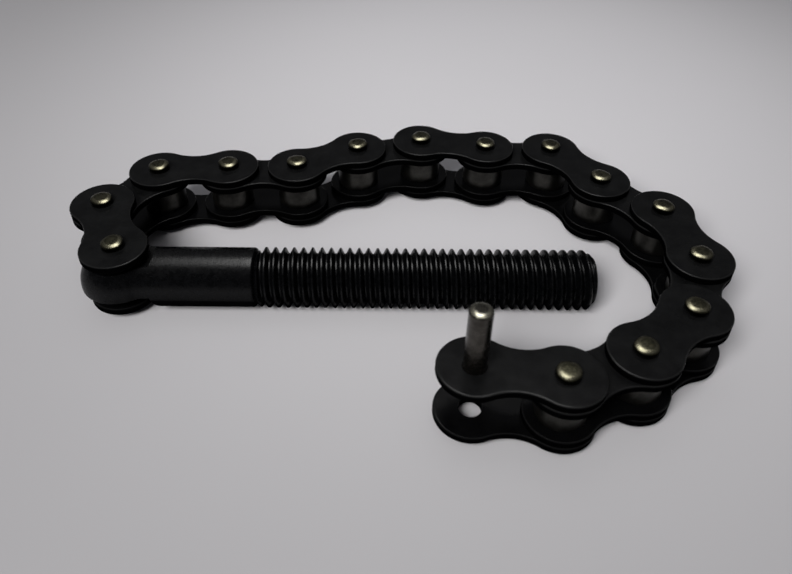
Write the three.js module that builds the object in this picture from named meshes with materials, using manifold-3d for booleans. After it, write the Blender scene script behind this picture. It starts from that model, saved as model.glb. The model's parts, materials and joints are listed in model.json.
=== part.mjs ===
// Short open length of roller chain pinned to an eye-ended threaded rod.
//
// Millimetres, +Z up. The pin axes stand along Z. The origin is on the axis of
// the first pin (the one through the eye of the rod), in the plane of the
// bottom ends of the riveted pins. +X runs along the rod to its threaded end.
//
// Eight outer links and seven inner links alternate. Outer link 1 straddles the
// eye of the rod. Outer link 8 carries a riveted pin at one end and a plain
// draw pin at the other, which stands up out of the upper plate.

import * as THREE from 'three';
import * as BufferGeometryUtils from 'three/addons/utils/BufferGeometryUtils.js';
import Module from 'manifold-3d';

const wasm = await Module();
wasm.setup();

// ---------------------------------------------------------------- dimensions

const PITCH = 15.875; // pin to pin

// Link plates
const PLATE_THICKNESS = 1.6;
const PLATE_LOBE_RADIUS = 6.85; // round ends of the figure-eight plate
const PLATE_WAIST_HALF = 4.85; // half width at the narrowest point
const INNER_WIDTH = 6.35; // between the inner plates
const SIDE_GAP = 0.2; // between an inner plate and an outer plate

// Undersides of the four plate layers and of the space between the inner plates
const LOWER_OUTER_Z = 1.55;
const LOWER_INNER_Z = LOWER_OUTER_Z + PLATE_THICKNESS + SIDE_GAP;
const ROLLER_SPACE_Z = LOWER_INNER_Z + PLATE_THICKNESS;
const UPPER_INNER_Z = ROLLER_SPACE_Z + INNER_WIDTH;
const UPPER_OUTER_Z = UPPER_INNER_Z + PLATE_THICKNESS + SIDE_GAP;

// Riveted pins
const PIN_LENGTH = 16.25;
const PIN_RADIUS = 2.1;
const PIN_HEAD_RADIUS = 2.3; // peened end
const PIN_HEAD_HEIGHT = 1.5;
const PIN_HEAD_TAPER = 0.5; // height of the sloping rim of a peened end
const PIN_HEAD_FLAT = 1.55; // radius of the flat on a peened end
const PIN_HOLE_RADIUS = 2.26;

// Draw pin, the size of a riveted pin but chamfered
const DRAW_PIN_RADIUS = PIN_RADIUS;
const DRAW_PIN_LENGTH = PIN_LENGTH;
const DRAW_PIN_CHAMFER = 0.7;
const DRAW_PIN_Z = 12.25; // lower end, just through the upper plate

// Bushes and rollers
const BUSH_RADIUS = 3.05;
const BUSH_BORE_RADIUS = 2.4;
const BUSH_SEAT_RADIUS = 3.2; // hole in the upper inner plate
const BUSH_ROOT_DEPTH = 0.5; // start of a bush above the underside of its plate
const BUSH_TOP_Z = UPPER_INNER_Z + PLATE_THICKNESS;
const ROLLER_RADIUS = 4.85;
const ROLLER_BORE_RADIUS = 3.3;
const ROLLER_END_PLAY = 0.1;

// Rod
const ROD_RADIUS = 6.35; // over the crests of the thread
const ROD_AXIS_Z = ROD_RADIUS; // the crests reach down to z = 0
const ROD_LENGTH = 99.0; // from the axis of the first pin
const SHANK_RADIUS = 6.25; // plain part between the neck and the thread
const BALL_RADIUS = 8; // rounded end of the rod
const NECK_FILLET = 5; // between the ball and the shank
const EYE_TOP_Z = 11.7; // flats milled on the ball
const EYE_BOTTOM_Z = 5.95;
const SHOULDER_TOP_RADIUS = 7.9; // the flats end in arcs round the pin axis
const SHOULDER_BOTTOM_RADIUS = 9.6;
const EYE_BORE_RADIUS = 2.35;

// Thread
const THREAD_START_X = 28.7;
const THREAD_PITCH = 25.4 / 13; // 13 turns to the inch
const THREAD_DEPTH = 1.2;
const THREAD_ROOT_RADIUS = ROD_RADIUS - THREAD_DEPTH;
const THREAD_END_CHAMFER = 1.5;
const THREAD_RUN_IN = 1.6; // length over which the ridge rises to full height
const THREAD_MARGIN = 0.3; // the trimming envelope passes root and crest by this
const CORE_SINK = 0.15; // core surface below the thread root
const SHANK_END_X = THREAD_START_X - 0.4;
const CORE_START_X = THREAD_START_X + 0.3;

// Direction of each link, degrees from +X, from outer link 1 to outer link 8.
const LINK_HEADINGS = [
  114.5, 54.4, 5.2, 3.4, 28.4, 13.1, -9.0, -2.0,
  -53.3, -44.2, -77.9, -110.6, -140.4, -158.4, 172.8,
];

// Mesh resolution
const PIN_SIDES = 10;
const BUSH_SIDES = 12;
const ROLLER_SIDES = 14;
const ROD_SIDES = 22;
const SHOULDER_SIDES = 2 * ROD_SIDES;
const BALL_STEPS = 9;
const FILLET_STEPS = 3;
const THREAD_STEPS = 14; // per turn
const LOBE_STEPS = 9;
const WAIST_STEPS = 2;

// Cutters run between these heights, clear of every piece.
const CUT_BOTTOM_Z = -10;
const CUT_TOP_Z = 30;

// ----------------------------------------------------------------- materials

const steel = (name, look) => new THREE.MeshStandardMaterial({ name, ...look });

const BLACK_OXIDE = steel('black_oxide_steel', {
  color: 0x1e1f22, roughness: 0.5, metalness: 0.8,
});
const ROD_BLACK = steel('polished_black_rod', {
  color: 0x17181b, roughness: 0.34, metalness: 0.85,
});
const PIN_STEEL = steel('pin_steel', {
  color: 0x7d7a68, roughness: 0.42, metalness: 0.9,
});
const ROLLER_STEEL = steel('roller_steel', {
  color: 0x45413b, roughness: 0.5, metalness: 0.85,
});
const DRAW_PIN_STEEL = steel('draw_pin_steel', {
  color: 0x6a6259, roughness: 0.38, metalness: 0.9,
});

// -------------------------------------------------------------- solid helpers

// Welds the vertices and drops collapsed triangles, as a closed solid needs.
function toSolid(geometry) {
  geometry.deleteAttribute('normal');
  geometry.deleteAttribute('uv');
  const welded = BufferGeometryUtils.mergeVertices(geometry, 1e-4);
  const index = welded.index.array;
  const triangles = [];
  for (let i = 0; i < index.length; i += 3) {
    const [first, second, third] = index.slice(i, i + 3);
    if (first !== second && second !== third && third !== first) {
      triangles.push(first, second, third);
    }
  }
  return new wasm.Manifold(new wasm.Mesh({
    numProp: 3,
    vertProperties: new Float32Array(welded.attributes.position.array),
    triVerts: new Uint32Array(triangles),
  }));
}

function toGeometry(solid) {
  const mesh = solid.getMesh();
  const geometry = new THREE.BufferGeometry();
  geometry.setAttribute('position',
    new THREE.BufferAttribute(new Float32Array(mesh.vertProperties), 3));
  geometry.setIndex(new THREE.BufferAttribute(new Uint32Array(mesh.triVerts), 1));
  geometry.computeVertexNormals();
  return geometry;
}

function lathe(profile, sides) {
  const points = profile.map(([radius, along]) => new THREE.Vector2(radius, along));
  return new THREE.LatheGeometry(points, sides);
}

// Solid of revolution about Z from [radius, z] pairs, listed bottom to top.
function turned(profile, sides) {
  return toSolid(lathe(profile, sides).rotateX(Math.PI / 2));
}

// Solid of revolution about the axis of the rod from [radius, x] pairs.
function turnedAlongRod(profile, sides) {
  return toSolid(lathe(profile, sides).rotateZ(-Math.PI / 2).translate(0, 0, ROD_AXIS_Z));
}

function cylinder(radius, bottom, top, sides) {
  return turned([[0, bottom], [radius, bottom], [radius, top], [0, top]], sides);
}

function boreCutter(radius, sides) {
  return cylinder(radius, CUT_BOTTOM_Z, CUT_TOP_Z, sides);
}

// ---------------------------------------------------------------- link plates

// Figure-eight outline: two lobes one pitch apart, joined by two hollow arcs
// that are tangent to both lobes.
function plateOutline() {
  const half = PITCH / 2;
  const lobe = PLATE_LOBE_RADIUS;
  const waist = PLATE_WAIST_HALF;
  const hollow = (half * half + waist * waist - lobe * lobe) / (2 * (lobe - waist));
  const hollowY = waist + hollow; // distance of a hollow's centre from the centreline
  const tangent = Math.atan2(hollowY, half);
  const points = [];

  const addArc = (centreX, centreY, radius, from, to, steps, firstStep, lastStep) => {
    for (let i = firstStep; i <= lastStep; i += 1) {
      const angle = from + ((to - from) * i) / steps;
      points.push(new THREE.Vector2(
        centreX + radius * Math.cos(angle),
        centreY + radius * Math.sin(angle),
      ));
    }
  };
  const addLobe = (centreX, from, to) =>
    addArc(centreX, 0, lobe, from, to, LOBE_STEPS, 0, LOBE_STEPS);
  // A hollow leaves out its two end points, which the lobes already supply.
  const addHollow = (centreY, from, to) =>
    addArc(half, centreY, hollow, from, to, WAIST_STEPS, 1, WAIST_STEPS - 1);

  addLobe(0, tangent, 2 * Math.PI - tangent);
  addHollow(-hollowY, Math.PI - tangent, tangent);
  addLobe(PITCH, tangent - Math.PI, Math.PI - tangent);
  addHollow(hollowY, -tangent, tangent - Math.PI);
  return points;
}

function roundHole(centreX, radius, sides) {
  const points = [];
  for (let i = 0; i < sides; i += 1) {
    const angle = (-2 * Math.PI * i) / sides;
    points.push(new THREE.Vector2(
      centreX + radius * Math.cos(angle),
      radius * Math.sin(angle),
    ));
  }
  return new THREE.Path().setFromPoints(points);
}

// Plate with its underside at z, blank unless a hole { radius, sides } is given.
function plate(z, hole) {
  const shape = new THREE.Shape(plateOutline());
  if (hole) {
    for (const centreX of [0, PITCH]) {
      shape.holes.push(roundHole(centreX, hole.radius, hole.sides));
    }
  }
  const geometry = new THREE.ExtrudeGeometry(shape, {
    depth: PLATE_THICKNESS, bevelEnabled: false, steps: 1,
  });
  return toSolid(geometry.translate(0, 0, z));
}

// Lower inner plate with its two bushes, which reach up through the roller
// space to the top face of the upper inner plate.
function lowerInnerPlateSolid() {
  const bush = cylinder(BUSH_RADIUS, LOWER_INNER_Z + BUSH_ROOT_DEPTH, BUSH_TOP_Z, BUSH_SIDES);
  const bore = boreCutter(BUSH_BORE_RADIUS, BUSH_SIDES);
  return plate(LOWER_INNER_Z)
    .add(bush)
    .add(bush.translate([PITCH, 0, 0]))
    .subtract(bore)
    .subtract(bore.translate([PITCH, 0, 0]));
}

// The first lower outer plate and the first pin are one body.
function firstLowerPlateSolid() {
  return plate(LOWER_OUTER_Z)
    .subtract(boreCutter(PIN_HOLE_RADIUS, PIN_SIDES).translate([PITCH, 0, 0]))
    .add(rivetedPinSolid());
}

// ----------------------------------------------------------- pins and rollers

// Straight shank with a low domed head peened at each end.
function rivetedPinSolid() {
  return turned([
    [0, 0],
    [PIN_HEAD_FLAT, 0],
    [PIN_HEAD_RADIUS, PIN_HEAD_TAPER],
    [PIN_HEAD_RADIUS, PIN_HEAD_HEIGHT],
    [PIN_RADIUS, PIN_HEAD_HEIGHT],
    [PIN_RADIUS, PIN_LENGTH - PIN_HEAD_HEIGHT],
    [PIN_HEAD_RADIUS, PIN_LENGTH - PIN_HEAD_HEIGHT],
    [PIN_HEAD_RADIUS, PIN_LENGTH - PIN_HEAD_TAPER],
    [PIN_HEAD_FLAT, PIN_LENGTH],
    [0, PIN_LENGTH],
  ], PIN_SIDES);
}

function drawPinSolid() {
  const endRadius = DRAW_PIN_RADIUS - DRAW_PIN_CHAMFER;
  return turned([
    [0, 0],
    [endRadius, 0],
    [DRAW_PIN_RADIUS, DRAW_PIN_CHAMFER],
    [DRAW_PIN_RADIUS, DRAW_PIN_LENGTH - DRAW_PIN_CHAMFER],
    [endRadius, DRAW_PIN_LENGTH],
    [0, DRAW_PIN_LENGTH],
  ], PIN_SIDES);
}

function rollerSolid() {
  const bottom = ROLLER_SPACE_Z + ROLLER_END_PLAY;
  const top = UPPER_INNER_Z - ROLLER_END_PLAY;
  return turned([
    [ROLLER_BORE_RADIUS, bottom],
    [ROLLER_RADIUS, bottom],
    [ROLLER_RADIUS, top],
    [ROLLER_BORE_RADIUS, top],
    [ROLLER_BORE_RADIUS, bottom],
  ], ROLLER_SIDES);
}

// -------------------------------------------------------------------- the rod

// Helical V ridge, longer than the thread at both ends. The root line and the
// crest line are offset half a pitch; each crest is joined to the root before
// it and the root one turn later.
function threadRidge() {
  const turns = Math.ceil((ROD_LENGTH - THREAD_START_X) / THREAD_PITCH) + 3;
  const perTurn = THREAD_STEPS;
  const rootSteps = turns * perTurn;
  const crestSteps = rootSteps - perTurn;
  const startX = THREAD_START_X - 1.5 * THREAD_PITCH;

  const positions = [];
  const addHelix = (steps, radius, shift) => {
    for (let i = 0; i <= steps; i += 1) {
      const angle = (2 * Math.PI * i) / perTurn;
      positions.push(
        startX + THREAD_PITCH * (i / perTurn + shift),
        radius * Math.cos(angle),
        radius * Math.sin(angle),
      );
    }
  };
  addHelix(rootSteps, THREAD_ROOT_RADIUS, 0);
  addHelix(crestSteps, ROD_RADIUS, 0.5);
  const startCentre = positions.length / 3;
  const endCentre = startCentre + 1;
  positions.push(startX + 0.5 * THREAD_PITCH, 0, 0);
  positions.push(startX + THREAD_PITCH * (turns - 0.5), 0, 0);

  // Vertex numbers along the two helices
  const root = (i) => i;
  const crest = (i) => rootSteps + 1 + i;

  const faces = [];
  // The two flanks of the ridge
  for (let i = 0; i < crestSteps; i += 1) {
    const nextRoot = root(i + perTurn);
    faces.push(root(i), crest(i + 1), crest(i));
    faces.push(root(i), root(i + 1), crest(i + 1));
    faces.push(crest(i), nextRoot + 1, nextRoot);
    faces.push(crest(i), crest(i + 1), nextRoot + 1);
  }
  // Fans that close the first and the last turn
  for (let i = 0; i < perTurn; i += 1) {
    faces.push(startCentre, root(i + 1), root(i));
    faces.push(endCentre, root(crestSteps + i), root(crestSteps + i + 1));
  }
  // Radial steps where each end turn meets itself
  faces.push(startCentre, crest(0), root(perTurn));
  faces.push(startCentre, root(0), crest(0));
  faces.push(endCentre, root(rootSteps), crest(crestSteps));
  faces.push(endCentre, crest(crestSteps), root(crestSteps));

  const geometry = new THREE.BufferGeometry();
  geometry.setAttribute('position', new THREE.Float32BufferAttribute(positions, 3));
  geometry.setIndex(faces);
  return toSolid(geometry.translate(0, 0, ROD_AXIS_Z));
}

// Trims the ridge to the thread, with a tapered start and a chamfered end.
function threadEnvelope() {
  const outerRadius = ROD_RADIUS + THREAD_MARGIN;
  return turnedAlongRod([
    [0, THREAD_START_X],
    [THREAD_ROOT_RADIUS - THREAD_MARGIN, THREAD_START_X],
    [outerRadius, THREAD_START_X + THREAD_RUN_IN],
    [outerRadius, ROD_LENGTH - THREAD_END_CHAMFER - THREAD_MARGIN],
    [ROD_RADIUS - THREAD_END_CHAMFER, ROD_LENGTH],
    [0, ROD_LENGTH],
  ], ROD_SIDES);
}

// Ball, hollow neck fillet, plain shank and the core under the thread.
function rodBody() {
  const filletRadial = SHANK_RADIUS + NECK_FILLET; // fillet centre from the rod axis
  const filletX = Math.sqrt((BALL_RADIUS + NECK_FILLET) ** 2 - filletRadial ** 2);
  const meet = Math.atan2(filletRadial, filletX); // where the ball meets the fillet
  const coreRadius = THREAD_ROOT_RADIUS - CORE_SINK;

  const profile = [[0, -BALL_RADIUS]];
  for (let i = 1; i <= BALL_STEPS; i += 1) {
    const angle = Math.PI - ((Math.PI - meet) * i) / BALL_STEPS;
    profile.push([BALL_RADIUS * Math.sin(angle), BALL_RADIUS * Math.cos(angle)]);
  }
  for (let i = 1; i <= FILLET_STEPS; i += 1) {
    const angle = Math.PI + meet + ((Math.PI / 2 - meet) * i) / FILLET_STEPS;
    profile.push([
      filletRadial + NECK_FILLET * Math.sin(angle),
      filletX + NECK_FILLET * Math.cos(angle),
    ]);
  }
  profile.push(
    [SHANK_RADIUS, SHANK_END_X],
    [coreRadius, CORE_START_X],
    [coreRadius, ROD_LENGTH],
    [0, ROD_LENGTH],
  );
  return turnedAlongRod(profile, ROD_SIDES);
}

function eyeRodSolid() {
  return rodBody()
    .add(threadRidge().intersect(threadEnvelope()))
    .subtract(cylinder(SHOULDER_TOP_RADIUS, EYE_TOP_Z, CUT_TOP_Z, SHOULDER_SIDES))
    .subtract(cylinder(SHOULDER_BOTTOM_RADIUS, CUT_BOTTOM_Z, EYE_BOTTOM_Z, SHOULDER_SIDES))
    .subtract(boreCutter(EYE_BORE_RADIUS, BUSH_SIDES));
}

// ------------------------------------------------------------------- assembly

const PIN_HOLE = { radius: PIN_HOLE_RADIUS, sides: PIN_SIDES };
const BUSH_SEAT = { radius: BUSH_SEAT_RADIUS, sides: BUSH_SIDES };

// Link pieces lie with the first pin axis at the origin and the second at +X.
const upperOuterPlate = toGeometry(plate(UPPER_OUTER_Z, PIN_HOLE));
const lowerOuterPlate = toGeometry(plate(LOWER_OUTER_Z, PIN_HOLE));
const firstLowerPlate = toGeometry(firstLowerPlateSolid());
const upperInnerPlate = toGeometry(plate(UPPER_INNER_Z, BUSH_SEAT));
const lowerInnerPlate = toGeometry(lowerInnerPlateSolid());
const rivetedPin = toGeometry(rivetedPinSolid());
const drawPin = toGeometry(drawPinSolid());
const roller = toGeometry(rollerSolid());

function addPiece(parent, name, geometry, material, x = 0, z = 0) {
  const mesh = new THREE.Mesh(geometry, material);
  mesh.name = name;
  mesh.position.set(x, 0, z);
  parent.add(mesh);
}

const twoDigits = (number) => String(number).padStart(2, '0');

// Pins are numbered along the chain; joint is the number at the link's start.
function addOuterLink(link, number, joint) {
  addPiece(link, `outer_plate_upper_${number}`, upperOuterPlate, BLACK_OXIDE);
  if (number === 1) {
    addPiece(link, 'outer_plate_lower_1', firstLowerPlate, BLACK_OXIDE);
  } else {
    addPiece(link, `outer_plate_lower_${number}`, lowerOuterPlate, BLACK_OXIDE);
    addPiece(link, `pin_${twoDigits(joint)}`, rivetedPin, PIN_STEEL);
  }
  if (joint < LINK_HEADINGS.length) {
    addPiece(link, `pin_${twoDigits(joint + 1)}`, rivetedPin, PIN_STEEL, PITCH);
  } else {
    addPiece(link, 'draw_pin', drawPin, DRAW_PIN_STEEL, PITCH, DRAW_PIN_Z);
  }
}

function addInnerLink(link, number) {
  addPiece(link, `inner_plate_upper_${number}`, upperInnerPlate, BLACK_OXIDE);
  addPiece(link, `inner_plate_lower_${number}`, lowerInnerPlate, BLACK_OXIDE);
  addPiece(link, `roller_${twoDigits(2 * number - 1)}`, roller, ROLLER_STEEL);
  addPiece(link, `roller_${twoDigits(2 * number)}`, roller, ROLLER_STEEL, PITCH);
}

const assembly = new THREE.Group();
assembly.name = 'chain_and_eye_rod';
addPiece(assembly, 'eye_rod', toGeometry(eyeRodSolid()), ROD_BLACK);

// Each link starts at the pin axis where the one before it ends.
let x = 0;
let y = 0;
LINK_HEADINGS.forEach((heading, i) => {
  const angle = THREE.MathUtils.degToRad(heading);
  const link = new THREE.Group();
  link.position.set(x, y, 0);
  link.rotation.z = angle;
  assembly.add(link);

  if (i % 2 === 0) {
    addOuterLink(link, i / 2 + 1, i + 1);
  } else {
    addInnerLink(link, (i + 1) / 2);
  }

  x += PITCH * Math.cos(angle);
  y += PITCH * Math.sin(angle);
});

export default assembly;
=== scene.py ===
"""Threaded eye rod, a fifteen-link roller chain and the loose draw pin at its far end.

The rod lies along X, its lowest line at z = 0 and its eye at the origin. The chain lies
flat in XY with its pins along Z: eight outer links alternate with seven inner links.
Sizes are in millimetres and are scaled by MM on the way into Blender; shader, light and
floor sizes are in metres.
"""
import json
import math

import bmesh
import bpy
from mathutils import Matrix, Vector


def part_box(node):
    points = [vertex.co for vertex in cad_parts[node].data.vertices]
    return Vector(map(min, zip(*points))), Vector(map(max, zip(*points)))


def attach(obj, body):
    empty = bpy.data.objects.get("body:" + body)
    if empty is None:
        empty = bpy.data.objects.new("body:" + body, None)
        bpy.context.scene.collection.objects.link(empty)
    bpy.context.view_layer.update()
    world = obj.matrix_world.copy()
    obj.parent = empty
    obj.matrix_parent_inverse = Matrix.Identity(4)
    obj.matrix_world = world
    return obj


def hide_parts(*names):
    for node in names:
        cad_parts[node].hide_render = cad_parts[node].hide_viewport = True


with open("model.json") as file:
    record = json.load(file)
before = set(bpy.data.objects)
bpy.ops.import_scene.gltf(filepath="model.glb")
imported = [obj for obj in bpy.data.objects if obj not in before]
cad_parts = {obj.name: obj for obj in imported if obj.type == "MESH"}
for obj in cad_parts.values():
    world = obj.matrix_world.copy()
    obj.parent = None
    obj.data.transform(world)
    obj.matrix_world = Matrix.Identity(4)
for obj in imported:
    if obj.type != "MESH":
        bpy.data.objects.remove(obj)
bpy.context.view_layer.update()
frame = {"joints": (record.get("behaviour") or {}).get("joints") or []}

MM = 0.001


# ------------------------------------------------------------------ sizes, mm

def bottom_of(node_name):
    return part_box(node_name)[0].z / MM


def pin_centres():
    """The fifteen chain joints, then the draw pin, all at z = 0."""
    joints = {joint["name"]: joint for joint in frame["joints"]}
    centres = [Vector(joints["chain_joint_%02d" % k]["pos_m"]) / MM for k in range(1, 16)]
    low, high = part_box("draw_pin")
    centres.append(Vector(((low.x + high.x) / 2, (low.y + high.y) / 2, 0)) / MM)
    for centre in centres:
        centre.z = 0
    return centres


PINS = pin_centres()
LINKS = len(PINS) - 1
PITCH = (PINS[1] - PINS[0]).length

# link plates
LOBE_R = 6.85
WAIST_HALF = 4.85
PLATE_THICK = 1.6
PLATE_EDGE = 0.28  # radius of the rolled-over outer edge
HOLE_EDGE = 0.12  # size of the broken hole edge
FILL_MARGIN = 0.25  # flat rim ring inside the outer edge
HOLE_MARGIN = 0.2  # flat rim ring round each hole
PIN_HOLE_R = 2.13
DRAW_HOLE_R = 2.15
UPPER_BUSH_HOLE_R = 3.08
LOWER_BUSH_HOLE_R = 2.4
Z_LOWER_OUTER = bottom_of("outer_plate_lower_2")
Z_UPPER_OUTER = bottom_of("outer_plate_upper_2")
Z_LOWER_INNER = bottom_of("inner_plate_lower_2")
Z_UPPER_INNER = bottom_of("inner_plate_upper_2")

# pins
PIN_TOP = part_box("pin_02")[1].z / MM
PIN_PHASE = 2.399  # radians the peening turns from one pin to the next
DRAW_R = 2.1
DRAW_LENGTH = 16.25
Z_DRAW = bottom_of("draw_pin")

# bushes and rollers
BUSH_INNER_R, BUSH_OUTER_R = 2.35, 3.05
BUSH_CHAMFER = 0.15
BUSH_SINK = 0.05  # bush foot above the lower face of the lower inner plate
ROLLER_GAP = 0.1  # clearance to each inner plate
ROLLER_BORE_R = 3.3
ROLLER_CHAMFER = 0.15
ROLLER_ROUND = 0.35
ROLLER_ROUND_CENTRE = 4.5
ROLLER_BAND_R = 4.86
ROLLER_BAND_INSET = 1.2

# rod
ROD_R = 6.35
ROD_Z = ROD_R
SHANK_R = 6.25
ROD_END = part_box("eye_rod")[1].x / MM
BALL_R = 8.0
NECK_R = 5.0  # fillet between ball and shank
EYE_TOP, EYE_BOTTOM = 11.7, 5.95
EYE_HOLE_R = 2.2
TOP_CUT_R, BOTTOM_CUT_R = 7.9, 9.6
CUT_FLOOR, CUT_CEILING = -6, 20  # heights clear of the ball
AXIS_R = 0.05  # small radius of the last ring before a closing cap

# thread
THREAD_START = 28.7
THREAD_PITCH = 25.4 / 13
THREAD_DEPTH = 1.2
THREAD_FLOOR_R = 4.8
THREAD_STUB_R = 4.9  # end of the shank hidden inside the thread
START_DROP, START_TAPER = 0.9, 0.9  # crest drop at the thread start and length of its taper
END_CHAMFER = 1.5
END_DISC_DROP = 1.45


# ------------------------------------------------------------------ mesh tools

def finish_shading(mesh, sharp):
    """Smooth faces, with edges steeper than `sharp` degrees kept sharp."""
    mesh.polygons.foreach_set("use_smooth", [True] * len(mesh.polygons))
    mesh.set_sharp_from_angle(angle=math.radians(sharp))
    mesh.update()


def mesh_from(name, verts, faces, sharp):
    mesh = bpy.data.meshes.new(name)
    mesh.from_pydata([tuple(c * MM for c in vert) for vert in verts], [], faces)
    mesh.validate()
    bm = bmesh.new()
    bm.from_mesh(mesh)
    bmesh.ops.remove_doubles(bm, verts=bm.verts, dist=1e-7)
    bmesh.ops.recalc_face_normals(bm, faces=bm.faces)
    bm.to_mesh(mesh)
    bm.free()
    finish_shading(mesh, sharp)
    return mesh


def joined(name, sharp, *parts):
    """One mesh from (mesh, material index, shift along X) parts."""
    bm = bmesh.new()
    for mesh, material_index, shift in parts:
        first_vert = len(bm.verts)
        first_face = len(bm.faces)
        bm.from_mesh(mesh)
        bm.verts.ensure_lookup_table()
        bm.faces.ensure_lookup_table()
        for vert in bm.verts[first_vert:]:
            vert.co.x += shift * MM
        for face in bm.faces[first_face:]:
            face.material_index = material_index
    out = bpy.data.meshes.new(name)
    bm.to_mesh(out)
    bm.free()
    finish_shading(out, sharp)
    return out


def rings_to_mesh(rings, closed_profile=False):
    """Quads between equal rings of points; each ring is a closed loop."""
    verts = [point for ring in rings for point in ring]
    size = len(rings[0])
    faces = []
    for k in range(len(rings) if closed_profile else len(rings) - 1):
        here = k * size
        there = (k + 1) % len(rings) * size
        for i in range(size):
            j = (i + 1) % size
            faces.append((here + i, here + j, there + j, there + i))
    return verts, faces


def turned(profile, segments, closed=False, axis="Z"):
    """Solid of revolution from (radius, place along the axis) pairs.

    An open profile is capped at both ends. Axis "X" is the rod's own axis.
    """
    def point(radius, along, angle):
        across, up = radius * math.cos(angle), radius * math.sin(angle)
        return (across, up, along) if axis == "Z" else (along, across, ROD_Z + up)

    rings = [[point(radius, along, 2 * math.pi * i / segments) for i in range(segments)]
             for radius, along in profile]
    verts, faces = rings_to_mesh(rings, closed)
    if not closed:
        for k in (0, len(rings) - 1):
            centre = len(verts)
            verts.append(point(0, profile[k][1], 0))
            base = k * segments
            for i in range(segments):
                faces.append((centre, base + i, base + (i + 1) % segments))
    return verts, faces


def round_corner(x, y, radius, start, end, steps):
    """Points on an arc round (x, y), between two angles in degrees."""
    angles = [math.radians(start + (end - start) * i / steps) for i in range(steps + 1)]
    return [(x + radius * math.cos(a), y + radius * math.sin(a)) for a in angles]


# ------------------------------------------------------------------ link plates

def plate_outline(lobe_steps=44, waist_steps=14):
    """Figure-eight contour as (x, y, normal x, normal y), anticlockwise, normals outward."""
    half = PITCH / 2
    hollow_r = (half ** 2 + WAIST_HALF ** 2 - LOBE_R ** 2) / (2 * (LOBE_R - WAIST_HALF))
    hollow_y = WAIST_HALF + hollow_r
    meet = math.atan2(hollow_y, half)
    out = []

    def arc(x, y, radius, start, end, steps, outward, ends):
        for i in range(0 if ends else 1, steps + 1 if ends else steps):
            angle = start + (end - start) * i / steps
            cos, sin = math.cos(angle), math.sin(angle)
            out.append((x + radius * cos, y + radius * sin, outward * cos, outward * sin))

    arc(0, 0, LOBE_R, meet, 2 * math.pi - meet, lobe_steps, 1, True)
    arc(half, -hollow_y, hollow_r, math.pi - meet, meet, waist_steps, -1, False)
    arc(PITCH, 0, LOBE_R, meet - math.pi, math.pi - meet, lobe_steps, 1, True)
    arc(half, hollow_y, hollow_r, -meet, meet - math.pi, waist_steps, -1, False)
    return out


def plate_rim_rings(z_low, steps=4):
    """Rings round the plate's rolled-over outer edge, from lower face to upper face."""
    z_high = z_low + PLATE_THICK
    angles = [math.pi / 2 * i / steps for i in range(steps + 1)]
    # (inset from the outline, z)
    profile = [(PLATE_EDGE + FILL_MARGIN, z_low)]
    profile += [(PLATE_EDGE * (1 - math.sin(a)), z_low + PLATE_EDGE * (1 - math.cos(a)))
                for a in angles]
    profile += [(PLATE_EDGE * (1 - math.cos(a)), z_high - PLATE_EDGE * (1 - math.sin(a)))
                for a in angles]
    profile.append((PLATE_EDGE + FILL_MARGIN, z_high))
    outline = plate_outline()
    return [[(x - nx * inset, y - ny * inset, z) for x, y, nx, ny in outline]
            for inset, z in profile]


def plate_hole_rings(x, radius, z_low, segments=56):
    """Rings down the wall of a hole, with both edges broken."""
    z_high = z_low + PLATE_THICK
    cut = HOLE_EDGE * 0.3
    # (widening of the hole, z)
    profile = [
        (HOLE_EDGE + HOLE_MARGIN, z_low), (HOLE_EDGE, z_low),
        (cut, z_low + cut), (0, z_low + HOLE_EDGE),
        (0, z_high - HOLE_EDGE), (cut, z_high - cut),
        (HOLE_EDGE, z_high), (HOLE_EDGE + HOLE_MARGIN, z_high),
    ]
    angles = [-2 * math.pi * i / segments for i in range(segments)]
    return [[(x + (radius + wider) * math.cos(a), (radius + wider) * math.sin(a), z)
             for a in angles] for wider, z in profile]


def plate_mesh(name, z_low, first_hole_r, second_hole_r):
    """Stamped link plate with a hole at each pin, its flat faces filled between the rims."""
    bm = bmesh.new()
    rims = []  # (lower loop, upper loop) of the outline and of each hole
    shells = (plate_rim_rings(z_low), plate_hole_rings(0, first_hole_r, z_low),
              plate_hole_rings(PITCH, second_hole_r, z_low))
    shell_faces = []
    for rings in shells:
        points, faces = rings_to_mesh(rings)
        verts = [bm.verts.new([c * MM for c in point]) for point in points]
        shell_faces += [[verts[i] for i in face] for face in faces]
        size = len(rings[0])
        rims.append((verts[:size], verts[-size:]))
    for face in shell_faces:
        bm.faces.new(face)
    for side in (0, 1):
        edges = [bm.edges.get(ends) for rim in rims
                 for ends in zip(rim[side], rim[side][1:] + rim[side][:1])]
        bmesh.ops.triangle_fill(bm, use_beauty=True, use_dissolve=False, edges=edges)
    bmesh.ops.recalc_face_normals(bm, faces=bm.faces)
    mesh = bpy.data.meshes.new(name)
    bm.to_mesh(mesh)
    bm.free()
    finish_shading(mesh, 50)
    return mesh


# ------------------------------------------------------------------ shader tools

def node(tree, kind, inputs, **settings):
    """New shader node; an input given as a socket is linked, any other value is set."""
    made = tree.nodes.new("ShaderNode" + kind)
    for name, value in settings.items():
        setattr(made, name, value)
    for key, value in inputs.items():
        if isinstance(value, bpy.types.NodeSocket):
            tree.links.new(value, made.inputs[key])
        else:
            made.inputs[key].default_value = value
    return made


def arithmetic(tree, operation, *values):
    return node(tree, "Math", dict(enumerate(values)), operation=operation).outputs[0]


def map_range(tree, value, start, end, low=0.0, high=1.0, **settings):
    """Value carried from start..end to low..high, clamped."""
    inputs = {"Value": value, "From Min": start, "From Max": end, "To Min": low, "To Max": high}
    return node(tree, "MapRange", inputs, **settings).outputs[0]


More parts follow.
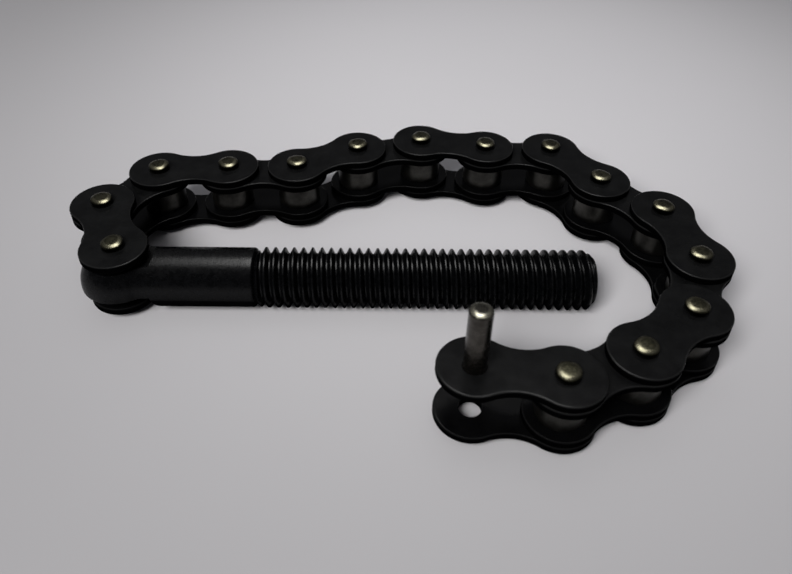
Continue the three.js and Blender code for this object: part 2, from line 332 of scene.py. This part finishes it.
def mix_colours(tree, factor, first, second):
    """Blend of two colours, each a socket or an (r, g, b) tuple."""
    first, second = ((*c, 1) if isinstance(c, tuple) else c for c in (first, second))
    return node(tree, "MixRGB", {0: factor, 1: first, 2: second}).outputs[0]


def noise(tree, vector, scale, detail, roughness=0.5):
    inputs = {"Vector": vector, "Scale": scale, "Detail": detail, "Roughness": roughness}
    return node(tree, "TexNoise", inputs).outputs[0]


def split(tree, vector):
    return node(tree, "SeparateXYZ", {0: vector}).outputs


# ------------------------------------------------------------------ metal shader

def shifted_coordinates(tree, position):
    """Object coordinates moved by a random step for each object."""
    random = node(tree, "ObjectInfo", {}).outputs["Random"]
    diagonal = node(tree, "CombineXYZ", {0: random, 1: random, 2: random}).outputs[0]
    step = node(tree, "VectorMath", {0: diagonal, "Scale": 0.37}, operation="SCALE").outputs[0]
    return node(tree, "VectorMath", {0: position, 1: step}).outputs[0]


def edge_mask(tree, rounded_normal, normal, gain):
    """Edges: where the rounded normal leaves the true normal."""
    agreement = node(tree, "VectorMath", {0: rounded_normal, 1: normal},
                     operation="DOT_PRODUCT").outputs["Value"]
    return map_range(tree, agreement, start=0.992, end=0.90, high=gain)


def paint_side_oxide_and_shade(tree, normal, colour, side_oxide_and_shade_colour):
    """Only faces that look up or down keep the colour; the sides take the darker side colour:
    painted shade on the plates, dark oxide and painted shade on the pins.
    """
    tilt = arithmetic(tree, "ABSOLUTE", split(tree, normal)["Z"])
    facing = map_range(tree, tilt, start=0.22, end=0.50)
    return mix_colours(tree, facing, side_oxide_and_shade_colour, colour)


def paint_rim_highlight(tree, normal, colour, rim_highlight_colour):
    """Painted highlight: brighten the shallow upward slope just inside an edge."""
    up = split(tree, normal)["Z"]
    above_side = map_range(tree, up, start=0.78, end=0.88)
    below_flat = map_range(tree, up, start=0.988, end=0.955)
    slope = arithmetic(tree, "MULTIPLY", above_side, below_flat)
    return mix_colours(tree, slope, colour, rim_highlight_colour)


def paint_crown_shade(tree, normal, colour, crown_shade_colour):
    """Painted shade: flat upper end faces take a darker colour than the rounded edge round them.
    """
    flat = map_range(tree, split(tree, normal)["Z"], start=0.985, end=0.997)
    return mix_colours(tree, flat, colour, crown_shade_colour)


def painted_shade_specular(tree, normal, specular, under_shade_fade, shade_thread_flanks):
    """Painted shade: the reflection fades out as the normal's z falls through the given pair of
    values.
    """
    parts = split(tree, normal)
    level = map_range(tree, parts["Z"], start=under_shade_fade[0], end=under_shade_fade[1], high=specular)
    if shade_thread_flanks:
        # painted shade: the thread flanks reflect less than the crests and the plain shank
        lean = arithmetic(tree, "ABSOLUTE", parts["X"])
        flank = map_range(tree, lean, start=0.35, end=0.70, low=1.0, high=0.35)
        level = arithmetic(tree, "MULTIPLY", level, flank)
    return level


def turning_marks(tree, position, axis):
    """Fine rings across the given axis."""
    along = arithmetic(tree, "MULTIPLY", split(tree, position)[axis], 6500.0)
    return node(tree, "TexNoise", {"W": along, "Scale": 1.0, "Detail": 2.0},
                noise_dimensions="1D").outputs[0]


def metal(name, dark, light, worn, roughness, metallic, blotch_scale, bump_height, edge_gain,
          specular=0.5, grain_scale=5200.0, edge_radius=0.00018, turned_axis=None,
          speck_amount=0.0, speck_colour=None, side_oxide_and_shade_colour=None, rim_highlight_colour=None,
          crown_shade_colour=None, under_shade_fade=None, shade_thread_flanks=False):
    """Blotched metal with worn edges.

    dark, light: ends of the blotch colour; worn: colour of rubbed edges.
    roughness: (least, most); bump_height and edge_radius: metres.
    """
    material = bpy.data.materials.new(name)
    material.use_nodes = True
    tree = material.node_tree
    tree.nodes.clear()
    shader = node(tree, "BsdfPrincipled",
                  {"Metallic": metallic, "Specular IOR Level": specular})
    node(tree, "OutputMaterial", {0: shader.outputs[0]})

    position = node(tree, "TexCoord", {}).outputs["Object"]
    coordinates = shifted_coordinates(tree, position)
    normal = node(tree, "NewGeometry", {}).outputs["Normal"]
    rounded_normal = node(tree, "Bevel", {"Radius": edge_radius}, samples=4).outputs[0]
    blotch = noise(tree, coordinates, scale=blotch_scale, detail=5.0, roughness=0.6)
    grain = noise(tree, coordinates, scale=grain_scale, detail=3.0, roughness=0.6)

    patches = map_range(tree, blotch, start=0.34, end=0.68)
    colour = mix_colours(tree, patches, dark, light)
    if speck_amount:
        speck_noise = noise(tree, coordinates, scale=1900.0, detail=2.0, roughness=0.7)
        specks = map_range(tree, speck_noise, start=0.62, end=0.75, high=speck_amount)
        colour = mix_colours(tree, specks, colour, speck_colour)
    edges = edge_mask(tree, rounded_normal, normal, edge_gain)
    wear = arithmetic(tree, "MULTIPLY", edges, patches)
    colour = mix_colours(tree, wear, colour, worn)
    # darker sides: painted shade on the plates, dark oxide and painted shade on the pins
    if side_oxide_and_shade_colour:
        colour = paint_side_oxide_and_shade(tree, normal, colour, side_oxide_and_shade_colour)
    # painted highlight on the slope just inside an edge
    if rim_highlight_colour:
        colour = paint_rim_highlight(tree, normal, colour, rim_highlight_colour)
    # painted shade on the flat end face
    if crown_shade_colour:
        colour = paint_crown_shade(tree, normal, colour, crown_shade_colour)
    tree.links.new(colour, shader.inputs["Base Color"])

    # reflection weakened on sides and undersides: painted shade
    if under_shade_fade:
        level = painted_shade_specular(tree, normal, specular, under_shade_fade, shade_thread_flanks)
        tree.links.new(level, shader.inputs["Specular IOR Level"])

    grain_share = arithmetic(tree, "MULTIPLY", grain, 0.4)
    texture = arithmetic(tree, "MULTIPLY_ADD", blotch, 0.6, grain_share)
    rough = map_range(tree, texture, start=0.3, end=0.7, low=roughness[0], high=roughness[1])
    tree.links.new(rough, shader.inputs["Roughness"])

    height = grain
    if turned_axis:
        height = arithmetic(tree, "ADD", grain, turning_marks(tree, position, turned_axis))
    bump = node(tree, "Bump", {"Strength": 1.0, "Distance": bump_height,
                               "Height": height, "Normal": rounded_normal})
    tree.links.new(bump.outputs[0], shader.inputs["Normal"])
    return material


# ------------------------------------------------------------------ metals

# what both plate materials share; the side colour and the reflection fade paint shade on the
# sides and undersides of the plates
PLATE_FINISH = dict(
    roughness=(0.18, 0.27), metallic=0.0, blotch_scale=260, bump_height=0.000008,
    edge_gain=0.6, side_oxide_and_shade_colour=(0.0008, 0.0008, 0.0009), under_shade_fade=(0.15, 0.45))

# black oxide plates; the rim colour is a painted highlight just inside each plate edge
BLACK = metal(
    "black_oxide_steel",
    dark=(0.0043, 0.0044, 0.0046), light=(0.0086, 0.0088, 0.0090), worn=(0.060, 0.060, 0.060),
    specular=0.105, speck_amount=0.3, speck_colour=(0.018, 0.018, 0.018),
    rim_highlight_colour=(0.018, 0.018, 0.018), **PLATE_FINISH)

# same black oxide as the upper plates, painted darker for the lower plates as painted shade, with
# a fainter painted highlight on the rims
BLACK_SHADED = metal(
    "black_oxide_steel_painted_shade",
    dark=(0.0016, 0.0016, 0.0018), light=(0.0032, 0.0033, 0.0035), worn=(0.040, 0.040, 0.040),
    specular=0.12, rim_highlight_colour=(0.010, 0.010, 0.010), **PLATE_FINISH)

# the reflection fades on the rod's underside and thread flanks: painted shade
ROD = metal(
    "polished_black_rod",
    dark=(0.0010, 0.0011, 0.0013), light=(0.0024, 0.0025, 0.0029), worn=(0.030, 0.030, 0.032),
    roughness=(0.20, 0.36), metallic=0.0, specular=0.20, blotch_scale=900, grain_scale=3200,
    bump_height=0.000014, edge_gain=0.4, edge_radius=0.00010, turned_axis="X",
    speck_amount=0.5, speck_colour=(0.012, 0.012, 0.012),
    under_shade_fade=(-0.20, 0.22), shade_thread_flanks=True)

# the rim colour is a painted highlight round the pin head; the dark side colour is dark oxide and
# painted shade
PIN = metal(
    "worn_pin_steel",
    dark=(0.040, 0.038, 0.024), light=(0.070, 0.066, 0.043), worn=(0.22, 0.21, 0.16),
    roughness=(0.22, 0.34), metallic=0.95, blotch_scale=900, bump_height=0.00003,
    edge_gain=0.5, edge_radius=0.00025,
    side_oxide_and_shade_colour=(0.006, 0.006, 0.004), rim_highlight_colour=(0.17, 0.16, 0.11))

# the crown colour is painted shade on the flat end face; the rim colour is a painted highlight on
# the rounded end
DRAW = metal(
    "turned_draw_pin_steel",
    dark=(0.050, 0.046, 0.040), light=(0.095, 0.088, 0.078), worn=(0.26, 0.25, 0.23),
    roughness=(0.20, 0.32), metallic=0.95, blotch_scale=600, bump_height=0.00001,
    edge_gain=0.6, turned_axis="Z",
    crown_shade_colour=(0.036, 0.034, 0.029), rim_highlight_colour=(0.26, 0.25, 0.20))

ROLLER = metal(
    "oiled_roller_steel",
    dark=(0.025, 0.0245, 0.022), light=(0.055, 0.053, 0.048), worn=(0.09, 0.085, 0.075),
    roughness=(0.26, 0.42), metallic=0.9, blotch_scale=420, bump_height=0.00001,
    edge_gain=0.5, turned_axis="Z")


# ------------------------------------------------------------------ pins, bushes, rollers

# peened end of a pin, from the shaft to the crown: (radius, depth below the crown)
PIN_HEAD = [
    (2.1, 1.52), (2.22, 1.50), (2.3, 1.40), (2.3, 0.66), (2.285, 0.56), (2.24, 0.47),
    (2.16, 0.395), (2.0, 0.30), (1.8, 0.205), (1.6, 0.128), (1.4, 0.07), (1.2, 0.034),
    (0.9, 0.012), (0.45, 0.003), (0.08, 0),
]

# end of the draw pin, from the shaft to its face: (inset from DRAW_R, distance from the face)
DRAW_PIN_END = [
    (0, 3.7), (0, 0.66), (0.02, 0.54), (0.08, 0.44), (0.18, 0.365), (0.36, 0.275),
    (0.56, 0.18), (0.76, 0.10), (0.96, 0.042), (1.16, 0.01), (1.35, 0),
]


def peened(verts, phase):
    """Upper end spread a little unevenly by the riveting."""
    spread_from, spread_over = PIN_TOP - 1.3, 0.3
    out = []
    for x, y, z in verts:
        angle = math.atan2(y, x) + phase
        amount = min(max((z - spread_from) / spread_over, 0.0), 1.0)
        spread = 1 + amount * (0.030 * math.cos(2 * angle + 0.6)
                               + 0.022 * math.cos(3 * angle + 1.9)
                               + 0.012 * math.cos(5 * angle))
        out.append((x * spread, y * spread, z))
    return out


def pin_meshes():
    """Riveted pins, one for each joint, standing from z = 0 to PIN_TOP."""
    profile = [(radius, depth) for radius, depth in reversed(PIN_HEAD)]
    profile += [(radius, PIN_TOP - depth) for radius, depth in PIN_HEAD]
    verts, faces = turned(profile, 48)
    return [mesh_from("riveted_pin_%d" % k, peened(verts, PIN_PHASE * k), faces, sharp=50)
            for k in range(LINKS)]


def draw_pin_mesh():
    end = [(DRAW_R - inset, height) for inset, height in DRAW_PIN_END] + [(AXIS_R, 0)]
    profile = end[::-1] + [(radius, DRAW_LENGTH - height) for radius, height in end]
    return mesh_from("draw_pin_mesh", *turned(profile, 56), sharp=30)


def bush_mesh():
    foot = Z_LOWER_INNER + BUSH_SINK
    top = Z_UPPER_INNER + PLATE_THICK
    profile = [
        (BUSH_INNER_R, foot), (BUSH_OUTER_R, foot),
        (BUSH_OUTER_R, top - BUSH_CHAMFER), (BUSH_OUTER_R - BUSH_CHAMFER, top),
        (BUSH_INNER_R + BUSH_CHAMFER, top), (BUSH_INNER_R, top - BUSH_CHAMFER),
    ]
    return mesh_from("bush", *turned(profile, 40, closed=True), sharp=40)


def roller_mesh():
    low = Z_LOWER_INNER + PLATE_THICK + ROLLER_GAP
    high = Z_UPPER_INNER - ROLLER_GAP
    mouth_r = ROLLER_BORE_R + ROLLER_CHAMFER
    profile = [(ROLLER_BORE_R, low + ROLLER_CHAMFER), (mouth_r, low)]
    profile += round_corner(ROLLER_ROUND_CENTRE, low + ROLLER_ROUND, ROLLER_ROUND, -90, 0, 5)
    profile += [(ROLLER_BAND_R, z) for z in
                (low + ROLLER_BAND_INSET, (low + high) / 2, high - ROLLER_BAND_INSET)]
    profile += round_corner(ROLLER_ROUND_CENTRE, high - ROLLER_ROUND, ROLLER_ROUND, 0, 90, 5)
    profile += [(mouth_r, high), (ROLLER_BORE_R, high - ROLLER_CHAMFER)]
    return mesh_from("roller", *turned(profile, 72, closed=True), sharp=50)


# ------------------------------------------------------------------ chain

def place(name, mesh, materials, matrix, body, replaced):
    """Object from a copy of the mesh, moved by the matrix and handed to its body."""
    mesh = mesh.copy()
    mesh.name = name
    for material in materials:
        mesh.materials.append(material)
    mesh.transform(matrix)
    placed = bpy.data.objects.new(name, mesh)
    bpy.context.scene.collection.objects.link(placed)
    weighted = placed.modifiers.new("weighted", "WEIGHTED_NORMAL")
    weighted.keep_sharp = True
    weighted.weight = 60
    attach(placed, body)
    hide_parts(replaced)


def link_matrix(i):
    """From a link's own frame, first pin at the origin and second along X, to its place."""
    along = PINS[i + 1] - PINS[i]
    turn = Matrix.Rotation(math.atan2(along.y, along.x), 4, "Z")
    return Matrix.Translation(PINS[i] * MM) @ turn


PIN_MESHES = pin_meshes()
UPPER_OUTER = plate_mesh("upper_outer_plate", Z_UPPER_OUTER, PIN_HOLE_R, PIN_HOLE_R)
LOWER_OUTER = plate_mesh("lower_outer_plate", Z_LOWER_OUTER, PIN_HOLE_R, PIN_HOLE_R)
UPPER_LAST = plate_mesh("last_upper_plate", Z_UPPER_OUTER, PIN_HOLE_R, DRAW_HOLE_R)
LOWER_LAST = plate_mesh("last_lower_plate", Z_LOWER_OUTER, PIN_HOLE_R, DRAW_HOLE_R)
UPPER_INNER = plate_mesh("upper_inner_plate", Z_UPPER_INNER,
                         UPPER_BUSH_HOLE_R, UPPER_BUSH_HOLE_R)
BARE_LOWER_INNER = plate_mesh("lower_inner_plate_only", Z_LOWER_INNER,
                              LOWER_BUSH_HOLE_R, LOWER_BUSH_HOLE_R)
BUSH_MESH = bush_mesh()
# the first lower outer plate carries the first pin; lower inner plates carry both bushes
FIRST_LOWER = joined("first_lower_plate", 50, (LOWER_OUTER, 0, 0), (PIN_MESHES[0], 1, 0))
LOWER_INNER = joined("lower_inner_plate", 50, (BARE_LOWER_INNER, 0, 0),
                     (BUSH_MESH, 1, 0), (BUSH_MESH, 1, PITCH))
ROLLER_MESH = roller_mesh()
DRAW_MESH = draw_pin_mesh()

TO_SECOND_PIN = Matrix.Translation((PITCH * MM, 0, 0))
LAST_OUTER = (LINKS + 1) // 2


def place_rivet_pin(i, matrix, body):
    place("rivet_pin_%02d" % (i + 1), PIN_MESHES[i], [PIN], matrix, body,
          "pin_%02d" % (i + 1))


def place_outer_link(i):
    """Outer plates and their pins; the last link has the draw pin at its second hole."""
    matrix = link_matrix(i)
    k = i // 2 + 1
    last = k == LAST_OUTER
    body = "outer_link_%d" % k
    place("plate_upper_%d" % k, UPPER_LAST if last else UPPER_OUTER, [BLACK], matrix, body,
          "outer_plate_upper_%d" % k)
    if k == 1:
        lower, materials = FIRST_LOWER, [BLACK_SHADED, PIN]
    else:
        lower, materials = LOWER_LAST if last else LOWER_OUTER, [BLACK_SHADED]
    place("plate_lower_%d" % k, lower, materials, matrix, body,
          "outer_plate_lower_%d" % k)
    if k > 1:
        place_rivet_pin(i, matrix, body)
    second = matrix @ TO_SECOND_PIN
    if last:
        place("loose_draw_pin", DRAW_MESH, [DRAW],
              second @ Matrix.Translation((0, 0, Z_DRAW * MM)),
              "draw_pin_body", "draw_pin")
    else:
        place_rivet_pin(i + 1, second, body)


def place_inner_link(i):
    """Inner plates with their bushes, and the rollers at both ends."""
    matrix = link_matrix(i)
    k = (i + 1) // 2
    body = "inner_link_%d" % k
    place("inner_upper_%d" % k, UPPER_INNER, [BLACK], matrix, body,
          "inner_plate_upper_%d" % k)
    place("inner_lower_%d" % k, LOWER_INNER, [BLACK_SHADED, ROLLER], matrix, body,
          "inner_plate_lower_%d" % k)
    for number, end in ((i, matrix), (i + 1, matrix @ TO_SECOND_PIN)):
        place("chain_roller_%02d" % number, ROLLER_MESH, [ROLLER], end,
              "roller_body_%02d" % number, "roller_%02d" % number)


for i in range(LINKS):
    if i % 2 == 0:
        place_outer_link(i)
    else:
        place_inner_link(i)


# ------------------------------------------------------------------ rod

# end of the plain shank: (radius, distance past THREAD_START)
SHANK_END = [
    (SHANK_R, -0.75), (SHANK_R - 0.06, -0.55), (SHANK_R - 0.30, -0.3),
    (SHANK_R - 1.1, 0.15), (THREAD_STUB_R, 0.2), (THREAD_STUB_R, 1.5),
]


def rod_profile(ball_steps=40, neck_steps=12):
    """Ball, filleted neck and plain shank as (radius, x)."""
    fillet_r = SHANK_R + NECK_R
    fillet_x = math.sqrt((BALL_R + NECK_R) ** 2 - fillet_r ** 2)
    meet = math.atan2(fillet_r, fillet_x)
    profile = []
    for i in range(ball_steps + 1):
        angle = math.pi - (math.pi - meet) * i / ball_steps
        profile.append((max(BALL_R * math.sin(angle), AXIS_R), BALL_R * math.cos(angle)))
    for i in range(1, neck_steps + 1):
        angle = math.pi + meet + (math.pi / 2 - meet) * i / neck_steps
        profile.append((fillet_r + NECK_R * math.sin(angle),
                        fillet_x + NECK_R * math.cos(angle)))
    profile += [(SHANK_R, x) for x in (10, 14, 18, 22, 26)]
    profile += [(radius, THREAD_START + x) for radius, x in SHANK_END]
    return profile


def rod_body():
    """Rod blank with the ball cut flat above and below and bored through along Z."""
    def linked(name, profile, axis):
        mesh = mesh_from(name, *turned(profile, 128, axis=axis), sharp=30)
        made = bpy.data.objects.new(name, mesh)
        bpy.context.scene.collection.objects.link(made)
        return made

    blank = linked("rod_blank", rod_profile(), "X")
    cutters = []
    for radius, low, high in ((TOP_CUT_R, EYE_TOP, CUT_CEILING),
                              (BOTTOM_CUT_R, CUT_FLOOR, EYE_BOTTOM),
                              (EYE_HOLE_R, CUT_FLOOR, CUT_CEILING)):
        cutter = linked("tool", [(radius, low), (radius, high)], "Z")
        cut = blank.modifiers.new("cut", "BOOLEAN")
        cut.object = cutter
        cut.operation = "DIFFERENCE"
        cut.solver = "EXACT"
        cutters.append(cutter)
    depsgraph = bpy.context.evaluated_depsgraph_get()
    body = bpy.data.meshes.new_from_object(blank.evaluated_get(depsgraph))
    for used in cutters + [blank]:
        bpy.data.objects.remove(used)
    return body


def thread_radius(share):
    """Radius at a share of one pitch: straight flanks, rounded at crest and root."""
    root_flat, flank, soft = 0.12, 0.74, 0.14
    triangle = 1 - abs(2 * share - 1)
    rise = min(max((triangle - root_flat) / flank, 0.0), 1.0)
    if rise < soft:
        rise = soft / 2 + rise * rise / (2 * soft)
    elif rise > 1 - soft:
        left = 1 - rise
        rise = 1 - soft / 2 - left * left / (2 * soft)
    return ROD_R - THREAD_DEPTH + THREAD_DEPTH * (rise - soft / 2) / (1 - soft)


def thread_limit(x):
    """Greatest radius at x, tapered at the start and chamfered at the end."""
    limit = ROD_R
    if x < THREAD_START + START_TAPER:
        limit = min(limit, ROD_R - START_DROP + (x - THREAD_START))
    if x > ROD_END - END_CHAMFER:
        limit = min(limit, ROD_R - END_CHAMFER + (ROD_END - x))
    return max(limit, THREAD_FLOOR_R)


def thread_mesh(per_turn=96, across=14):
    """Right-handed thread: one ribbon wound round the core, with a flat end disc."""
    def around(x, radius, k):
        angle = 2 * math.pi * k / per_turn
        return (x, radius * math.cos(angle), ROD_Z + radius * math.sin(angle))

    def index(k, j):
        # the ribbon's far edge is the near edge one turn later
        return k * across + j if j < across else (k + per_turn) * across

    turns = int((ROD_END - THREAD_START) / THREAD_PITCH) + 3
    ribbon_start = THREAD_START - 0.8 * THREAD_PITCH
    total = turns * per_turn
    verts = []
    for k in range(total + 1):
        for j in range(across):
            share = j / across
            x = ribbon_start + THREAD_PITCH * (k / per_turn + share)
            x = min(max(x, THREAD_START), ROD_END)
            verts.append(around(x, min(thread_radius(share), thread_limit(x)), k))
    faces = []
    for k in range(total - per_turn):
        for j in range(across):
            quad = (index(k, j), index(k, j + 1), index(k + 1, j + 1), index(k + 1, j))
            # quads pressed flat against either end are left out
            if any(abs(verts[i][0] - verts[quad[0]][0]) >= 1e-9 for i in quad):
                faces.append(quad)

    centre = len(verts)
    verts.append((ROD_END, 0, ROD_Z))
    verts += [around(ROD_END, ROD_R - END_DISC_DROP, i) for i in range(per_turn)]
    for i in range(per_turn):
        faces.append((centre, centre + 1 + i, centre + 1 + (i + 1) % per_turn))

    mesh = bpy.data.meshes.new("thread")
    mesh.from_pydata([tuple(c * MM for c in vert) for vert in verts], [], faces)
    bm = bmesh.new()
    bm.from_mesh(mesh)
    loose = [vert for vert in bm.verts if not vert.link_faces]
    bmesh.ops.delete(bm, geom=loose, context="VERTS")
    bmesh.ops.remove_doubles(bm, verts=bm.verts, dist=1e-7)
    bmesh.ops.recalc_face_normals(bm, faces=bm.faces)
    bm.to_mesh(mesh)
    bm.free()
    return mesh


place("threaded_eye_rod", joined("eye_rod_mesh", 32, (rod_body(), 0, 0), (thread_mesh(), 0, 0)),
      [ROD], Matrix.Identity(4), "rod", "eye_rod")


# ------------------------------------------------------------------ floor

def floor_material():
    """Pale, faintly mottled table, with a painted pool of light round one spot behind the middle.
    """
    material = bpy.data.materials.new("pale_table")
    material.use_nodes = True
    tree = material.node_tree
    shader = tree.nodes["Principled BSDF"]
    position = node(tree, "TexCoord", {}).outputs["Object"]
    mottle = mix_colours(tree, noise(tree, position, scale=14.0, detail=4.0),
                         (0.690, 0.680, 0.705), (0.715, 0.705, 0.725))
    # painted light: the table is paler near one spot and darker away from it
    distance = node(tree, "VectorMath", {0: position, 1: (0.045, 0.10, 0)},
                    operation="DISTANCE").outputs["Value"]
    painted_light_pool = map_range(tree, distance, start=0.0, end=0.23, low=1.38, high=0.68,
                           interpolation_type="SMOOTHERSTEP")
    colour = node(tree, "VectorMath", {0: mottle, "Scale": painted_light_pool}, operation="SCALE")
    tree.links.new(colour.outputs[0], shader.inputs["Base Color"])
    shader.inputs["Roughness"].default_value = 0.6
    shader.inputs["Specular IOR Level"].default_value = 0.2
    return material


def table_top(half_side=3.0):
    mesh = bpy.data.meshes.new("table_top")
    corners = [(x * half_side, y * half_side, 0) for x, y in ((-1, -1), (1, -1), (1, 1), (-1, 1))]
    mesh.from_pydata(corners, [], [(0, 1, 2, 3)])
    table = bpy.data.objects.new("table_top", mesh)
    table.location = (0.05, 0.0, -0.00002)
    mesh.materials.append(floor_material())
    bpy.context.scene.collection.objects.link(table)
    return table


floor = table_top()


# ------------------------------------------------------------------ lights and world

LIGHT_TARGET = Vector((0.05, 0.0, 0))


def area_light(name, location, size_x, size_y, power, colour):
    """Rectangular light turned towards LIGHT_TARGET."""
    data = bpy.data.lights.new(name, "AREA")
    data.shape = "RECTANGLE"
    data.size = size_x
    data.size_y = size_y
    data.energy = power
    data.color = colour
    light = bpy.data.objects.new(name, data)
    bpy.context.scene.collection.objects.link(light)
    light.location = location
    aim = LIGHT_TARGET - Vector(location)
    light.rotation_euler = aim.to_track_quat("-Z", "Y").to_euler()
    return light


def studio_world():
    """Dim surroundings, brighter overhead and a little towards +Y."""
    world = bpy.data.worlds.new("studio")
    world.use_nodes = True
    tree = world.node_tree
    background = tree.nodes["Background"]
    direction = node(tree, "TexCoord", {}).outputs["Generated"]
    height = node(tree, "VectorMath", {0: direction, 1: (0.0, 0.30, 0.95)},
                  operation="DOT_PRODUCT").outputs["Value"]
    strength = map_range(tree, height, start=0.60, end=0.83, low=0.06, high=0.19)
    tree.links.new(strength, background.inputs["Strength"])
    background.inputs["Color"].default_value = (0.96, 0.955, 1.0, 1)
    return world


# the key fills the scene without a reflection; the overhead panel gives the reflections
key = area_light("front_left_key", location=(-0.27, -0.51, 0.66), size_x=0.36, size_y=0.36,
                 power=6.5, colour=(1.0, 0.99, 0.98))
key.visible_glossy = False
panel = area_light("overhead_panel", location=(0.05, 0.12, 0.60), size_x=0.30, size_y=0.34,
                   power=3.0, colour=(1.0, 0.995, 0.985))
panel.visible_diffuse = False
bpy.context.scene.world = studio_world()
bpy.context.scene.view_settings.view_transform = "Standard"


# ------------------------------------------------------------------ camera

CAMERA_DOWN = 0.675414  # radians below the horizontal
CAMERA_ROLL = 0.017448  # radians
CAMERA_HEADING = math.radians(0.65)  # clockwise, seen from above
CAMERA_PLACE = Vector((3.619315, -7.121441, 6.158984))  # chain pitches, before the heading


def add_camera():
    """Camera in front of the chain, its height measured from the pin tops."""
    heading = Matrix.Rotation(-CAMERA_HEADING, 3, "Z")
    look = Matrix.Rotation(math.pi / 2 - CAMERA_DOWN, 3, "X")
    roll = Matrix.Rotation(CAMERA_ROLL, 3, "Z")
    place_mm = heading @ CAMERA_PLACE * PITCH + Vector((0, 0, PIN_TOP))
    data = bpy.data.cameras.new("camera")
    data.sensor_width = 36
    data.lens = 33.615455
    data.shift_y = -0.08837121
    data.clip_start = 0.005
    data.clip_end = 20
    data.dof.use_dof = True
    data.dof.focus_object = floor
    data.dof.aperture_fstop = 26
    camera = bpy.data.objects.new("camera", data)
    camera.matrix_world = (Matrix.Translation(place_mm * MM)
                           @ (heading @ look @ roll).to_4x4())
    bpy.context.scene.collection.objects.link(camera)
    bpy.context.scene.camera = camera


add_camera()
